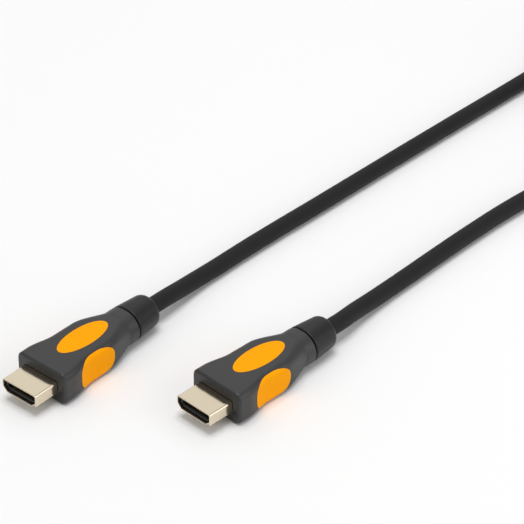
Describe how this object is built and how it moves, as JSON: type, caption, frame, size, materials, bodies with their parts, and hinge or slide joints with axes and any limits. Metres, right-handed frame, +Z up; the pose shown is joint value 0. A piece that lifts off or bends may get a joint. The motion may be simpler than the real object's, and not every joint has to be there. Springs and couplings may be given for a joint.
{
  "type": "hdmi cable",
  "caption": "Round cable with a moulded plug on each end: gold-plated shells, dark overmoulds with amber grip inserts, and spare length wound in a tied coil.",
  "frame": {"origin": "on the floor under the middle of the box round the two plugs", "axes": "+X from the plugs' mouths towards the coil, along plug b; +Y from plug b towards plug a; +Z up"},
  "size_m": [0.35, 0.0941, 0.014],
  "materials": {
    "shell_plating": "thin pale gold plating on drawn steel, bright",
    "insulator": "moulded black insulator",
    "contact_plating": "gold-plated contact strips",
    "overmould": "satin charcoal, fine moulded texture",
    "insert": "soft amber grip, satin",
    "strain_relief": "satin charcoal, flexible",
    "jacket": "matte extruded jacket",
    "tie": "black hook-and-loop tape"
  },
  "bodies": {
    "root": {"shell_a": "shell_plating", "contact_carrier_a": "insulator", "contact_a_01": "contact_plating", "contact_a_02": "contact_plating", "contact_a_03": "contact_plating", "contact_a_04": "contact_plating", "contact_a_05": "contact_plating", "contact_a_06": "contact_plating", "contact_a_07": "contact_plating", "contact_a_08": "contact_plating", "contact_a_09": "contact_plating", "contact_a_10": "contact_plating", "contact_a_11": "contact_plating", "contact_a_12": "contact_plating", "contact_a_13": "contact_plating", "contact_a_14": "contact_plating", "contact_a_15": "contact_plating", "contact_a_16": "contact_plating", "contact_a_17": "contact_plating", "contact_a_18": "contact_plating", "contact_a_19": "contact_plating", "overmould_a": "overmould", "insert_top_a": "insert", "insert_bottom_a": "insert", "insert_left_a": "insert", "insert_right_a": "insert", "strain_relief_a": "strain_relief", "shell_b": "shell_plating", "contact_carrier_b": "insulator", "contact_b_01": "contact_plating", "contact_b_02": "contact_plating", "contact_b_03": "contact_plating", "contact_b_04": "contact_plating", "contact_b_05": "contact_plating", "contact_b_06": "contact_plating", "contact_b_07": "contact_plating", "contact_b_08": "contact_plating", "contact_b_09": "contact_plating", "contact_b_10": "contact_plating", "contact_b_11": "contact_plating", "contact_b_12": "contact_plating", "contact_b_13": "contact_plating", "contact_b_14": "contact_plating", "contact_b_15": "contact_plating", "contact_b_16": "contact_plating", "contact_b_17": "contact_plating", "contact_b_18": "contact_plating", "contact_b_19": "contact_plating", "overmould_b": "overmould", "insert_top_b": "insert", "insert_bottom_b": "insert", "insert_left_b": "insert", "insert_right_b": "insert", "strain_relief_b": "strain_relief", "cable_run_a": "jacket", "cable_coil": "jacket", "cable_run_b": "jacket", "coil_tie_1": "tie", "coil_tie_2": "tie"}
  },
  "joints": []
}
